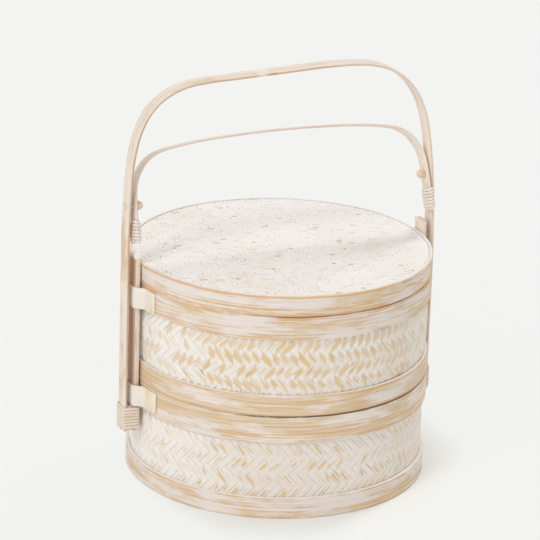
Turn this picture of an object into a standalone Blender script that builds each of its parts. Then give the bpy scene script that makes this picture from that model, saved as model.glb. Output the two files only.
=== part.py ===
"""A round bamboo food basket: two stacked tiers and a lid, carried by a bent arch.

Metres, +Z up. The origin is the middle of the basket's foot on the floor. X runs
across the arch from its left foot to its right foot, and Y runs through it.
"""

import math

import bmesh
import bpy
import numpy as np
from mathutils import Matrix

# Fits
seat_gap = 0.0003
slide_gap = 0.0004
overlap_clearance = 0.0007

# Tiers: woven walls between an outer hoop at the rim and one at the foot
tier_radius = 0.1445
lower_tier_height = 0.1018
upper_tier_height = 0.0980
lower_rim_hoop_height = 0.0260
upper_rim_hoop_height = 0.0228
foot_hoop_height = 0.0205
hoop_thickness = 0.0032
hoop_edge = 0.0006
wall_thickness = 0.0033
round_steps = 60

# The collar inside each rim, which the piece above drops over
collar_thickness = 0.0030
collar_rise = 0.0075
collar_depth = 0.0220

# Floors: a woven sheet on three slats, held down by a hoop
slat_thickness = 0.0030
slat_width = 0.0150
slat_spacing = 0.0720
floor_thickness = 0.0030
floor_hoop_height = 0.0180
floor_hoop_thickness = 0.0030

# Lid: a little wider than the tiers. Its inner hoop drops round the upper tier's collar.
lid_overhang = 0.0005
lid_height = 0.0198
lid_hoop_thickness = 0.0032
lid_sheet_thickness = 0.0030
lid_sheet_drop = 0.0005
lid_crown = 0.0020
lid_inner_hoop_height = 0.0125
lid_slide_gap = 0.0012
crown_ring_shares = (1.0, 0.8, 0.6, 0.4, 0.2)

# Stiles: the two upright slats that the belt loops hold, clear of the lid
stile_clearance = 0.0016
stile_thickness = 0.0054
stile_width = 0.0160
stile_rise = 0.0098
strap_edge = 0.0007

# Belt loops on the rim hoops
loop_thickness = 0.0016
loop_height = 0.0207
loop_clearance = 0.0004
loop_drop = 0.0015
loop_leave = 0.0145
lower_loop_tail = 0.0370
upper_loop_tail = 0.0320
loop_corner_radius = 0.0016
loop_corner_steps = 4
loop_tail_steps = 5

# Carrying arch: one strap bent over the top, its outer face given from right foot to
# left foot. Its left shoulder is squarer than its right one, as bent by hand.
arch_stand_off = 0.0057
grip_rise = 0.0629
arch_thickness = 0.0033
arch_width = 0.0160
arch_steps = 48
arch_across_shares = (
    1.0, 1.0, 1.0, 0.992, 0.976, 0.948, 0.916, 0.865, 0.795, 0.710, 0.610, 0.470, 0.250,
    0.0, -0.300, -0.520, -0.660, -0.775, -0.860, -0.918, -0.957, -0.981, -0.993, -0.999, -1.0, -1.0,
)
arch_up_shares = (
    0.0, 0.270, 0.430, 0.545, 0.660, 0.760, 0.828, 0.885, 0.930, 0.962, 0.984, 0.997, 1.0,
    0.996, 0.991, 0.987, 0.977, 0.953, 0.918, 0.872, 0.815, 0.740, 0.650, 0.530, 0.350, 0.0,
)

# Inner arch: a lighter strap that turns on two pegs
bail_foot_clearance = 0.0108
bail_strap_gap = 0.0017
bail_rise = 0.0578
bail_drop = 0.0350
bail_thickness = 0.0026
bail_width = 0.0160
bail_lean = math.radians(18)
bail_steps = 44
bail_across_shares = (
    1.010, 1.005, 1.0, 0.991, 0.968, 0.926, 0.870, 0.788, 0.650, 0.478, 0.223, 0.0,
)
bail_up_shares = (
    -1.0, -0.40, 0.0, 0.270, 0.460, 0.630, 0.765, 0.855, 0.915, 0.960, 0.991, 1.0,
)

# Pegs: a ball head inside, a shank through both straps
peg_shank_radius = 0.0022
peg_hole_clearance = 0.0003
peg_ball_radius = 0.0044
peg_ball_cut = 0.0027
peg_head_radius = 0.0030
peg_head_height = 0.0008
peg_steps = 16
ball_steps = 6

# Cane windings
cane_width = 0.0035
cane_thickness = 0.0011
cane_spacing = 0.00045
cane_edge_share = 0.45
cane_corner_radius = 0.0011
winding_stops_per_side = 2
winding_stops_per_corner = 4
lashing_turns = 5.5
lashing_gap = 0.0004
bail_wrap_turns = 4.5
bail_wrap_margin = 0.0007

# Spacer blocks between the arch's feet and the stiles, inside the lashings
spacer_shrink = 0.0008

# Overrun of a cutter past what it cuts
cut_overrun = 0.0020

# Shading and curve fineness
sharp_angle = math.radians(30)
curve_stops = 24

# Heights that follow from the sizes, foot to crown
upper_tier_foot = lower_tier_height + seat_gap
lid_foot = upper_tier_foot + upper_tier_height + seat_gap
lid_top = lid_foot + lid_height
stile_top = lid_top + stile_rise
bail_pivot_height = stile_top + bail_foot_clearance + bail_drop
arch_top = bail_pivot_height + bail_rise + grip_rise
cane_pitch = cane_width + cane_spacing
lashing_height = lashing_turns * cane_pitch + cane_width
lower_loop_low = lower_tier_height - loop_drop - loop_height
lashing_low = lower_loop_low - lashing_gap - lashing_height
arch_foot = lashing_low - seat_gap

# Distances from the middle that follow from the sizes
wall_outer = tier_radius - hoop_thickness - seat_gap
wall_inner = wall_outer - wall_thickness
collar_outer = wall_inner - slide_gap
collar_inner = collar_outer - collar_thickness
lid_radius = tier_radius + lid_overhang
stile_inner_face = lid_radius + stile_clearance
stile_outer_face = stile_inner_face + stile_thickness
arch_inner_face = stile_outer_face + arch_stand_off
arch_half_span = arch_inner_face + arch_thickness
foot_half_width = max(arch_width, stile_width) / 2


def make_material(name, colour, roughness):
    """One plain material with the piece's colour."""
    material = bpy.data.materials.new(name)
    material.use_nodes = True
    shader = material.node_tree.nodes["Principled BSDF"]
    shader.inputs["Base Color"].default_value = (*colour, 1.0)
    shader.inputs["Roughness"].default_value = roughness
    shader.inputs["Metallic"].default_value = 0.0
    return material


def make_finishes():
    """The finishes that the pieces share."""
    return {
        "weave": ((0.80, 0.74, 0.66), 0.75),
        "worn_weave": ((0.78, 0.68, 0.54), 0.75),
        "hoop": ((0.82, 0.75, 0.64), 0.60),
        "strap": ((0.80, 0.71, 0.60), 0.60),
        "stile": ((0.66, 0.50, 0.38), 0.65),
        "cane": ((0.78, 0.68, 0.57), 0.65),
        "peg": ((0.78, 0.60, 0.38), 0.55),
        "slat": ((0.72, 0.60, 0.44), 0.70),
    }


def add_piece(name, bm, finish, parent=None, smooth=True):
    """A finished bmesh becomes one named object with a material of its own."""
    bmesh.ops.recalc_face_normals(bm, faces=bm.faces)
    mesh = bpy.data.meshes.new(name)
    bm.to_mesh(mesh)
    bm.free()
    if smooth:
        mesh.shade_smooth()
        mesh.set_sharp_from_angle(angle=sharp_angle)
    piece = bpy.data.objects.new(name, mesh)
    colour, roughness = make_finishes()[finish]
    mesh.materials.append(make_material(name + "_" + finish, colour, roughness))
    bpy.context.collection.objects.link(piece)
    if parent:
        piece.parent = parent
    return piece


def skin_rings(rings, closed):
    """Bridges equal rings of points. An open run gets a cap at each end."""
    bm = bmesh.new()
    loops = [[bm.verts.new(point) for point in ring] for ring in rings]
    count = len(loops[0])
    pairs = list(zip(loops, loops[1:]))
    if closed:
        pairs.append((loops[-1], loops[0]))
    for near, far in pairs:
        for i in range(count):
            j = (i + 1) % count
            bm.faces.new((near[i], near[j], far[j], far[i]))
    if not closed:
        bm.faces.new(loops[0])
        bm.faces.new(loops[-1])
    return bm


def turned_ring(profile):
    """Spins a closed profile of (radius, height) points round the upright axis."""
    rings = []
    for step in range(round_steps):
        angle = math.tau * step / round_steps
        rings.append([(r * math.cos(angle), r * math.sin(angle), z) for r, z in profile])
    return skin_rings(rings, closed=True)


def turned_disc(profile, steps):
    """Spins an open profile of (radius, height) points that starts and ends on the axis."""
    bm = bmesh.new()
    rings = []
    for radius, height in profile[1:-1]:
        ring = []
        for step in range(steps):
            angle = math.tau * step / steps
            ring.append(bm.verts.new((radius * math.cos(angle), radius * math.sin(angle), height)))
        rings.append(ring)
    first = bm.verts.new((0, 0, profile[0][1]))
    last = bm.verts.new((0, 0, profile[-1][1]))
    for i in range(steps):
        j = (i + 1) % steps
        bm.faces.new((first, rings[0][i], rings[0][j]))
        bm.faces.new((last, rings[-1][j], rings[-1][i]))
        for near, far in zip(rings, rings[1:]):
            bm.faces.new((near[i], far[i], far[j], near[j]))
    return bm


def add_hoop(name, inner, outer, bottom, top, finish, edge=0.0):
    """A flat strip bent into a hoop, with its outer edges eased by edge."""
    if edge:
        profile = [(inner, bottom), (outer - edge, bottom), (outer, bottom + edge)]
        profile += [(outer, top - edge), (outer - edge, top), (inner, top)]
    else:
        profile = [(inner, bottom), (outer, bottom), (outer, top), (inner, top)]
    return add_piece(name, turned_ring(profile), finish)


def smooth_outline(points, steps):
    """Even points along a smooth curve through the given outline points."""
    points = np.array(points)
    padded = np.vstack([2 * points[0] - points[1], points, 2 * points[-1] - points[-2]])
    dense = []
    for a, b, c, d in zip(padded, padded[1:], padded[2:], padded[3:]):
        for share in np.linspace(0, 1, curve_stops, endpoint=False):
            bend = 2 * b + (c - a) * share + (2 * a - 5 * b + 4 * c - d) * share**2
            dense.append((bend + (3 * b - a - 3 * c + d) * share**3) / 2)
    dense.append(points[-1])
    dense = np.array(dense)
    lengths = np.concatenate([[0], np.cumsum(np.linalg.norm(np.diff(dense, axis=0), axis=1))])
    stops = np.linspace(0, lengths[-1], steps + 1)
    return np.column_stack([np.interp(stops, lengths, dense[:, i]) for i in range(2)])


def mirrored_arch(across, up, steps):
    """Both halves of an arch from the points of its right half, foot to crown."""
    half = smooth_outline(list(zip(across, up)), steps // 2)
    right = half[:-1]
    left = half[::-1] * (-1, 1)
    return np.vstack([right, left])


def outline_normals(outline):
    """Unit normals that point to the left of the outline's direction."""
    along = np.gradient(outline, axis=0)
    along /= np.linalg.norm(along, axis=1)[:, None]
    return np.column_stack([-along[:, 1], along[:, 0]])


def bent_strip(outline, thickness, low, high, edge, place):
    """A strip whose face follows a plane outline. It thickens to the outline's left.

    place turns (first, second, third) coordinates of the strip into a point.
    """
    if edge:
        section = [(0, low + edge), (0, high - edge), (edge, high), (thickness - edge, high)]
        section += [(thickness, high - edge), (thickness, low + edge)]
        section += [(thickness - edge, low), (edge, low)]
    else:
        section = [(0, low), (0, high), (thickness, high), (thickness, low)]
    rings = []
    for point, normal in zip(outline, outline_normals(outline)):
        ring = []
        for depth, third in section:
            first, second = point + normal * depth
            ring.append(place(first, second, third))
        rings.append(ring)
    return skin_rings(rings, closed=False)


def rounded_loop(half_x, half_y, radius):
    """The stops of one turn round a rounded rectangle, each with its outward normal."""
    stops = []
    corners = [(1, -1), (1, 1), (-1, 1), (-1, -1)]
    for number, (side_x, side_y) in enumerate(corners):
        centre = np.array([side_x * (half_x - radius), side_y * (half_y - radius)])
        first = math.radians(-90 + 90 * number)
        for step in range(winding_stops_per_corner):
            angle = first + math.radians(90) * step / (winding_stops_per_corner - 1)
            normal = np.array([math.cos(angle), math.sin(angle)])
            stops.append((centre + normal * radius, normal))
        after = corners[(number + 1) % 4]
        target = np.array([after[0] * (half_x - radius), after[1] * (half_y - radius)])
        target = target + normal * radius
        for step in range(1, winding_stops_per_side + 1):
            share = step / (winding_stops_per_side + 1)
            stops.append((stops[-step][0] * (1 - share) + target * share, normal))
    return stops


def wound_cane(name, half_x, half_y, bottom, turns, place):
    """One unbroken flat cane wound round a bundle, and the least gap between its turns."""
    inner = cane_corner_radius
    loop = rounded_loop(half_x + seat_gap, half_y + seat_gap, inner)
    start = winding_stops_per_corner + 1
    edge = cane_thickness * cane_edge_share
    section = [(0, 0), (0, cane_width), (edge, cane_width), (cane_thickness, cane_width / 2), (edge, 0)]
    rings = []
    for stop in range(int(round(turns * len(loop))) + 1):
        point, normal = loop[(start + stop) % len(loop)]
        climb = bottom + cane_pitch * stop / len(loop)
        ring = []
        for depth, rise in section:
            spot = point + normal * depth
            ring.append(place(spot[0], spot[1], climb + rise))
        rings.append(ring)
    points = np.array(rings)
    gaps = []
    for stop in range(len(points) - len(loop) // 2):
        later = points[stop + len(loop) // 2:].reshape(-1, 3)
        apart = later[None, :, :] - points[stop][:, None, :]
        gaps.append(np.sqrt((apart**2).sum(axis=2)).min())
    print(f"{name}: least gap between turns {min(gaps) * 1000:.2f} mm")
    return skin_rings(rings, closed=False)


def add_tier(name, foot, height, rim_hoop_height):
    """One tier: woven wall, two outer hoops, collar, and a floor on three slats."""
    top = foot + height
    add_hoop(name + "_wall", wall_inner, wall_outer, foot + seat_gap, top - seat_gap, "weave")
    foot_top = foot + foot_hoop_height
    hoop_inner = tier_radius - hoop_thickness
    add_hoop(name + "_foot_hoop", hoop_inner, tier_radius, foot, foot_top, "hoop", hoop_edge)
    rim_bottom = top - rim_hoop_height
    add_hoop(name + "_rim_hoop", hoop_inner, tier_radius, rim_bottom, top, "hoop", hoop_edge)
    collar_bottom = top - collar_depth
    collar_top = top + collar_rise
    add_hoop(name + "_collar", collar_inner, collar_outer, collar_bottom, collar_top, "hoop")
    slat_bottom = foot + seat_gap + collar_rise + overlap_clearance
    slat_top = slat_bottom + slat_thickness
    add_slats(name, slat_bottom, slat_top)
    sheet_bottom = slat_top + seat_gap
    sheet_top = sheet_bottom + floor_thickness
    sheet_radius = wall_inner - seat_gap
    sheet = [(0, sheet_bottom), (sheet_radius, sheet_bottom), (sheet_radius, sheet_top), (0, sheet_top)]
    add_piece(name + "_floor", turned_disc(sheet, round_steps), "worn_weave")
    hoop_bottom = sheet_top + seat_gap
    hoop_top = hoop_bottom + floor_hoop_height
    floor_hoop_inner = sheet_radius - floor_hoop_thickness
    add_hoop(name + "_floor_hoop", floor_hoop_inner, sheet_radius, hoop_bottom, hoop_top, "hoop")


def add_slats(name, bottom, top):
    """Three slats across the tier, their ends against the wall."""
    reach = wall_inner * math.cos(math.pi / round_steps) - seat_gap
    for number, place in enumerate(("front", "middle", "back")):
        middle = (number - 1) * slat_spacing
        far_edge = abs(middle) + slat_width / 2
        half_length = math.sqrt(reach**2 - far_edge**2)
        corners = [(-half_length, middle - slat_width / 2), (half_length, middle - slat_width / 2)]
        corners += [(half_length, middle + slat_width / 2), (-half_length, middle + slat_width / 2)]
        rings = [[(x, y, z) for x, y in corners] for z in (bottom, top)]
        add_piece(name + "_slat_" + place, skin_rings(rings, closed=False), "slat", smooth=False)


def belt_loop_outline(tail_length):
    """Plan of a loop's inner face: from one tail's end, round the stile, to the other's."""
    face_radius = tier_radius + seat_gap
    tail_end = tail_length / face_radius
    tail_start = loop_leave / face_radius
    tail = []
    for step in range(loop_tail_steps + 1):
        angle = -tail_end + (tail_end - tail_start) * step / loop_tail_steps
        tail.append((face_radius * math.cos(angle), face_radius * math.sin(angle)))
    corner_x = stile_outer_face + loop_clearance - loop_corner_radius
    corner_y = -(stile_width / 2 + loop_clearance) + loop_corner_radius
    run_x = corner_x - tail[-1][0]
    run_y = corner_y - tail[-1][1]
    slope = math.atan2(run_y, run_x) - math.asin(loop_corner_radius / math.hypot(run_x, run_y))
    bend = []
    for step in range(loop_corner_steps + 1):
        angle = (slope - math.pi / 2) * (1 - step / loop_corner_steps)
        bend.append((corner_x + loop_corner_radius * math.cos(angle),
                     corner_y + loop_corner_radius * math.sin(angle)))
    half = np.array(tail + bend)
    return np.vstack([half, half[::-1] * (1, -1)])


def add_belt_loops(name, rim, tail_length):
    """The two loops on a rim hoop that hold the stiles."""
    outline = belt_loop_outline(tail_length)
    high = rim - loop_drop
    low = high - loop_height
    for place_name, side in (("left", -1), ("right", 1)):
        def place(x, y, z, side=side):
            return (side * x, y, z)
        strip = bent_strip(outline[::-1], loop_thickness, low, high, 0.0, place)
        add_piece(name + "_loop_" + place_name, strip, "hoop")


def add_lid():
    """The lid: a slightly crowned woven sheet in a deep hoop, with a hoop inside."""
    hoop_inner = lid_radius - lid_hoop_thickness
    add_hoop("lid_hoop", hoop_inner, lid_radius, lid_foot, lid_top, "hoop", hoop_edge)
    rim = hoop_inner - seat_gap
    sheet_top = lid_top - lid_sheet_drop
    sheet_bottom = sheet_top - lid_sheet_thickness
    sheet = [(0, sheet_bottom + lid_crown)]
    for share in reversed(crown_ring_shares):
        sheet.append((rim * share, sheet_bottom + lid_crown * (1 - share**2)))
    for share in crown_ring_shares:
        sheet.append((rim * share, sheet_top + lid_crown * (1 - share**2)))
    sheet.append((0, sheet_top + lid_crown))
    add_piece("lid_sheet", turned_disc(sheet, round_steps), "weave")
    inner = collar_outer + lid_slide_gap
    inner_top = sheet_bottom - seat_gap
    inner_bottom = inner_top - lid_inner_hoop_height
    add_hoop("lid_inner_hoop", inner, rim, inner_bottom, inner_top, "hoop")


def add_stiles():
    """The two upright slats, each a straight strip with eased edges."""
    outline = np.array([(stile_outer_face, arch_foot), (stile_outer_face, stile_top)])
    half = stile_width / 2
    for place_name, side in (("left", -1), ("right", 1)):
        def place(x, z, y, side=side):
            return (side * x, y, z)
        strip = bent_strip(outline, stile_thickness, -half, half, strap_edge, place)
        add_piece("stile_" + place_name, strip, "stile")


def add_spacers():
    """The blocks that hold the arch's feet off the stiles."""
    low = lashing_low + spacer_shrink
    high = lashing_low + lashing_height - spacer_shrink
    half = foot_half_width - spacer_shrink
    near = stile_outer_face + seat_gap
    far = arch_inner_face - seat_gap
    for place_name, side in (("left", -1), ("right", 1)):
        corners = [(side * near, -half), (side * far, -half), (side * far, half), (side * near, half)]
        rings = [[(x, y, z) for x, y in corners] for z in (low, high)]
        add_piece("spacer_" + place_name, skin_rings(rings, closed=False), "slat", smooth=False)


def add_lashings():
    """The windings that bind each foot of the arch to its stile."""
    half_x = (arch_half_span - stile_inner_face) / 2
    middle = (arch_half_span + stile_inner_face) / 2
    for place_name, side in (("left", -1), ("right", 1)):
        def place(x, y, z, side=side):
            return (side * (middle + x), y, z)
        name = "lashing_" + place_name
        cane = wound_cane(name, half_x, foot_half_width, lashing_low, lashing_turns, place)
        add_piece(name, cane, "cane")


def arch_outline():
    """The carrying arch's outer face, right foot to left foot."""
    rise = arch_top - arch_foot
    points = []
    for across, up in zip(arch_across_shares, arch_up_shares):
        points.append((across * arch_half_span, arch_foot + up * rise))
    return smooth_outline(points, arch_steps)


def arch_face(side, height):
    """How far out the arch's outer face is at a height, on one side."""
    outline = arch_outline()
    crown = int(np.argmax(outline[:, 1]))
    leg = outline[: crown + 1] if side > 0 else outline[crown:][::-1]
    return side * float(np.interp(height, leg[:, 1], leg[:, 0]))


def bail_half_span():
    """How far out the inner arch's outer face is at its pegs, clear of the carrying arch."""
    return arch_face(1, bail_pivot_height) - arch_thickness - bail_strap_gap


def bail_outline():
    """The inner arch's outer face, measured from its pivot, right foot to left foot."""
    across = [share * bail_half_span() for share in bail_across_shares]
    up = []
    for share in bail_up_shares:
        length = bail_drop if share < 0 else bail_rise
        up.append(share * length)
    return mirrored_arch(across, up, bail_steps)


def cut_peg_holes(strap):
    """Cuts the holes that the pegs run through."""
    cutter_mesh = bpy.data.meshes.new(strap.name + "_peg_cutter")
    bm = bmesh.new()
    turn = Matrix.Rotation(math.radians(90), 4, "Y")
    bmesh.ops.create_cone(
        bm,
        cap_ends=True,
        segments=peg_steps,
        radius1=peg_shank_radius + peg_hole_clearance,
        radius2=peg_shank_radius + peg_hole_clearance,
        depth=2 * (arch_half_span + cut_overrun),
        matrix=turn,
    )
    bm.to_mesh(cutter_mesh)
    bm.free()
    cutter = bpy.data.objects.new(strap.name + "_peg_cutter", cutter_mesh)
    cutter.location = (0, 0, bail_pivot_height)
    cutter.hide_render = True
    cutter.display_type = "WIRE"
    bpy.context.collection.objects.link(cutter)
    cut = strap.modifiers.new("peg_holes", "BOOLEAN")
    cut.operation = "DIFFERENCE"
    cut.solver = "EXACT"
    cut.object = cutter


def add_arch():
    """The carrying arch, with the pegs' holes."""
    half = arch_width / 2
    strip = bent_strip(arch_outline(), arch_thickness, -half, half, strap_edge, lambda x, z, y: (x, y, z))
    arch = add_piece("carrying_arch", strip, "strap")
    cut_peg_holes(arch)


def add_bail():
    """The inner arch and its end windings, leaning back on the pegs' axis."""
    pivot = bpy.data.objects.new("bail_pivot", None)
    pivot.location = (0, 0, bail_pivot_height)
    pivot.rotation_euler = (-bail_lean, 0, 0)
    bpy.context.collection.objects.link(pivot)
    half = bail_width / 2
    outline = bail_outline()
    strip = bent_strip(outline, bail_thickness, -half, half, strap_edge, lambda x, z, y: (x, y, z))
    bail = add_piece("inner_arch", strip, "strap", pivot)
    cut_peg_holes(bail)
    bottom = bail_wrap_margin - bail_drop
    run = outline[outline[:, 1] < 0]
    run = run[run[:, 0] > 0]
    order = np.argsort(run[:, 1])
    levels = run[order, 1]
    faces = run[order, 0]
    for place_name, side in (("left", -1), ("right", 1)):
        def place(x, y, z, side=side):
            face = np.interp(z, levels, faces)
            return (side * (face - bail_thickness / 2 + x), y, z)
        name = "bail_wrap_" + place_name
        cane = wound_cane(name, bail_thickness / 2, half, bottom, bail_wrap_turns, place)
        add_piece(name, cane, "cane", pivot)


def add_pegs():
    """The two pegs that the inner arch turns on: ball head inside, flat head outside."""
    flat = bail_half_span() - bail_thickness - seat_gap
    centre = flat - peg_ball_cut
    first = math.acos(peg_ball_cut / peg_ball_radius)
    ball = []
    for step in range(ball_steps):
        angle = first + (math.pi - first) * step / ball_steps
        ball.append((peg_ball_radius * math.sin(angle), centre + peg_ball_radius * math.cos(angle)))
    ball.append((0, centre - peg_ball_radius))
    for place_name, side in (("left", -1), ("right", 1)):
        outer = arch_face(side, bail_pivot_height) + seat_gap
        profile = [(0, outer + peg_head_height), (peg_head_radius, outer + peg_head_height)]
        profile += [(peg_head_radius, outer), (peg_shank_radius, outer), (peg_shank_radius, flat)]
        bm = turned_disc(profile + ball, peg_steps)
        bmesh.ops.transform(bm, matrix=Matrix.Rotation(side * math.radians(90), 4, "Y"), verts=bm.verts)
        peg = add_piece("peg_" + place_name, bm, "peg")
        peg.location = (0, 0, bail_pivot_height)


def main():
    for item in list(bpy.data.objects):
        bpy.data.objects.remove(item, do_unlink=True)
    add_tier("lower_tier", 0.0, lower_tier_height, lower_rim_hoop_height)
    add_tier("upper_tier", upper_tier_foot, upper_tier_height, upper_rim_hoop_height)
    add_belt_loops("lower_tier", lower_tier_height, lower_loop_tail)
    add_belt_loops("upper_tier", upper_tier_foot + upper_tier_height, upper_loop_tail)
    add_lid()
    add_stiles()
    add_spacers()
    add_arch()
    add_lashings()
    add_bail()
    add_pegs()


main()
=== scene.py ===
# %% [markdown]
# A whitewashed bamboo food basket: two stacked tiers and a lid in one bent carrying arch.
# The solid model is loaded first, as a frame that never moves. Every visible piece is
# then made where that frame says, so that nothing has to be fitted by eye.

import math

import bmesh
import bpy
import numpy as np
from mathutils import Matrix, Vector


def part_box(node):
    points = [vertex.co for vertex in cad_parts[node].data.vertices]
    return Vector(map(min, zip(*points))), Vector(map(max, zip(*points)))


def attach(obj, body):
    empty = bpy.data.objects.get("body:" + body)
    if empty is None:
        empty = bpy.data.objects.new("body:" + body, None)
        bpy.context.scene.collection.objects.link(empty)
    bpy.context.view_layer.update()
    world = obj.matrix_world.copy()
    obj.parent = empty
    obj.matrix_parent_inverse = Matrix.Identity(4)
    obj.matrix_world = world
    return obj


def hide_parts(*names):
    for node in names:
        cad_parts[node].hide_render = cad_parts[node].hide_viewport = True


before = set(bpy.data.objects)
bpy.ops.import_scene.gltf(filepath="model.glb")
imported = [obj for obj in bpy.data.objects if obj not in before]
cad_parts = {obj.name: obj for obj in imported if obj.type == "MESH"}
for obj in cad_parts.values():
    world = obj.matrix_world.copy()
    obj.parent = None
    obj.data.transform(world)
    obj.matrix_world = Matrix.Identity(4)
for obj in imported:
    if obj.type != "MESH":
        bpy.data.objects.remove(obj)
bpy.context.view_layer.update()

# %% [markdown]
# A weaver thinks in strips, hoops and windings. The sizes that the looks need are read
# from the frame's boxes, so the dress always fits the solids, and only the thickness of
# a strip or a lap is written here.

# %% Sizes of the basket's parts
MM = 0.001
fit = 0.3 * MM
hoop_thickness = 3.2 * MM
wall_thickness = 3.3 * MM
lid_sheet_thickness = 3.0 * MM
lid_crown = 2.0 * MM


def span(node):
    """Radius, bottom and top of a round piece."""
    low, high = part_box(node)
    return high[0], low[2], high[2]


strap_width = 16.0 * MM
arch_nodes = (0.486,)
bail_nodes = (0.28,)
cane_width = 2.95 * MM
tiers = ("lower_tier", "upper_tier")
tier_body = {"lower_tier": "base_tier", "upper_tier": "upper_tier"}
for tier in tiers:
    print(tier, "wall", [round(v / MM, 1) for v in span(tier + "_wall")])

# %% [markdown]
# Nodes are easier to read as sums than as boxes and wires. One small class holds an
# output of a node, and plain arithmetic on it adds the Math nodes. Everything else goes
# through one method that takes the node's type, its settings and its inputs.

# %% Writing nodes as sums


class Wire:
    """One output of a node, which can be added to, multiplied and compared."""

    def __init__(self, bench, socket):
        self.bench = bench
        self.socket = socket

    def __add__(self, other):
        return self.bench.maths("ADD", self, other)

    def __sub__(self, other):
        return self.bench.maths("SUBTRACT", self, other)

    def __rsub__(self, other):
        return self.bench.maths("SUBTRACT", other, self)

    def __mul__(self, other):
        return self.bench.maths("MULTIPLY", self, other)

    def __truediv__(self, other):
        return self.bench.maths("DIVIDE", self, other)

    def __gt__(self, other):
        return self.bench.maths("GREATER_THAN", self, other)

    __radd__ = __add__
    __rmul__ = __mul__

    def between(self, low, high):
        """0 below low, 1 above high, and a soft step from one to the other."""
        values = {0: self, 1: low, 2: high}
        return self.bench.add("ShaderNodeMapRange", {"interpolation_type": "SMOOTHSTEP"}, values)


class Bench:
    """A node tree, and the one way in which nodes are put into it."""

    def __init__(self, tree):
        self.tree = tree

    def add(self, kind, settings=None, values=None, out=0):
        """A node of that type. Its settings come first, then its inputs by name or number."""
        node = self.tree.nodes.new(kind)
        for name, value in (settings or {}).items():
            setattr(node, name, value)
        for key, value in (values or {}).items():
            if isinstance(value, Wire):
                self.tree.links.new(value.socket, node.inputs[key])
            else:
                node.inputs[key].default_value = value
        return Wire(self, node.outputs[out])

    def maths(self, operation, *values):
        return self.add("ShaderNodeMath", {"operation": operation}, dict(enumerate(values)))

    def vector(self, x=0.0, y=0.0, z=0.0):
        return self.add("ShaderNodeCombineXYZ", None, {0: x, 1: y, 2: z})

    def split(self, vector):
        node = self.add("ShaderNodeSeparateXYZ", None, {0: vector}).socket.node
        return [Wire(self, output) for output in node.outputs]

    def noise(self, vector, scale=1.0, detail=2.0, roughness=0.5):
        values = {"Vector": vector, "Scale": scale, "Detail": detail, "Roughness": roughness}
        return self.add("ShaderNodeTexNoise", None, values)

    def mix(self, factor, under, over):
        """The colour under, with over laid on it where factor is 1."""
        values = {0: factor, 6: under, 7: over}
        return self.add("ShaderNodeMix", {"data_type": "RGBA"}, values, 2)


print("node bench ready")

# %% [markdown]
# Whitewashed bamboo is three colours: the chalky wash, the straw that shows where hands
# and neighbours rubbed the wash off, and the brown that stays in cracks. They are
# written as they look on a screen and turned to the linear values that shaders use.

# %% Colours of the wash and the straw


def screen(red, green, blue):
    """A screen colour, 0 to 255, as the linear colour that a shader needs."""
    linear = []
    for part in (red, green, blue):
        share = part / 255
        linear.append(share / 12.92 if share <= 0.04045 else ((share + 0.055) / 1.055) ** 2.4)
    return (*linear, 1.0)


wash = screen(241, 236, 231)
wash_shade = screen(226, 215, 204)
hoop_white = screen(235, 227, 222)
# Also painted light: the lit left of the walls and the highlights on the strips' edges
chalk_and_painted_light = screen(250, 248, 245)
# Also painted warm shade, on the right side of the walls
cream_and_warm_shade = screen(238, 222, 201)
straw = screen(226, 205, 175)
straw_deep = screen(212, 180, 142)
amber = screen(220, 172, 118)
edge_brown = screen(200, 162, 128)
cut_cream = screen(222, 198, 172)
# Also painted shade on the stiles' outer faces, besides the smudges at the cane's nodes
smudge_and_shade_brown = screen(190, 148, 118)
band_yellow = screen(238, 224, 195)
pinkish = screen(226, 211, 200)
strap_cream = screen(240, 228, 219)
# The next two are painted shade: the dark gaps between stacked hoops
gap_shade_brown = screen(112, 82, 58)
gap_shade_warm = screen(176, 132, 98)
# The next colour also serves as painted shade, in the gaps above the upper foot hoop
crack_and_shade_brown = screen(122, 84, 56)
bare_side = screen(206, 172, 130)
float_straw = screen(231, 204, 158)
float_deep = screen(217, 176, 122)
print("wash", [round(part, 3) for part in wash[:3]], "straw", [round(part, 3) for part in straw[:3]])


def make_finish(name, draw, specular=0.25, relief_depth=0.3 * MM):
    """A material from a drawing function that gives colour, roughness and height."""
    material = bpy.data.materials.new(name)
    material.use_nodes = True
    tree = material.node_tree
    bench = Bench(tree)
    shader = tree.nodes["Principled BSDF"]
    shader.inputs["Specular IOR Level"].default_value = specular
    colour, roughness, height = draw(bench)
    relief = bench.add("ShaderNodeBump", None, {"Strength": 1.0, "Distance": relief_depth, "Height": height})
    tree.links.new(colour.socket, shader.inputs["Base Color"])
    tree.links.new(roughness.socket, shader.inputs["Roughness"])
    tree.links.new(relief.socket, shader.inputs["Normal"])
    return material


# %% [markdown]
# A hoop, a strap or a slat is one length of split bamboo. Its fibres run lengthwise, so
# every mark on it is long and thin: fibres, thin amber scratches, and broad rubbed
# places. One noise at three scales draws them, stretched along the fibres. On a hoop the
# stretch comes from scaling the object's own coordinates, which leaves no seam. On a
# bent strap it comes from the strap's own map, which follows the bend.

# %% Where the fibres run


def object_point(bench):
    return bench.split(bench.add("ShaderNodeTexCoord", None, None, "Object"))


def strip_map(bench):
    """How far across a strip a point is, 0 to 1, and how far along it."""
    return bench.split(bench.add("ShaderNodeUVMap", {"uv_map": "strip_run"}))[:2]


def axis_grain(across):
    """Fibres square to the axes that are marked 1."""

    def spots(bench, seed):
        point = object_point(bench)

        def at(along_scale, across_scale):
            scales = [across_scale if flag else along_scale for flag in across]
            moved = [part * scale + seed * (n + 1) for n, (part, scale) in enumerate(zip(point, scales))]
            return bench.vector(*moved)

        return at

    return spots


def map_grain(width):
    """Fibres along a strip of this width that has a map of its own."""

    def spots(bench, seed):
        across, along = strip_map(bench)

        def at(along_scale, across_scale):
            return bench.vector(along * along_scale + seed, across * (width * across_scale) + seed * 2, seed * 3)

        return at

    return spots


# %% Finish of split bamboo


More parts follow.
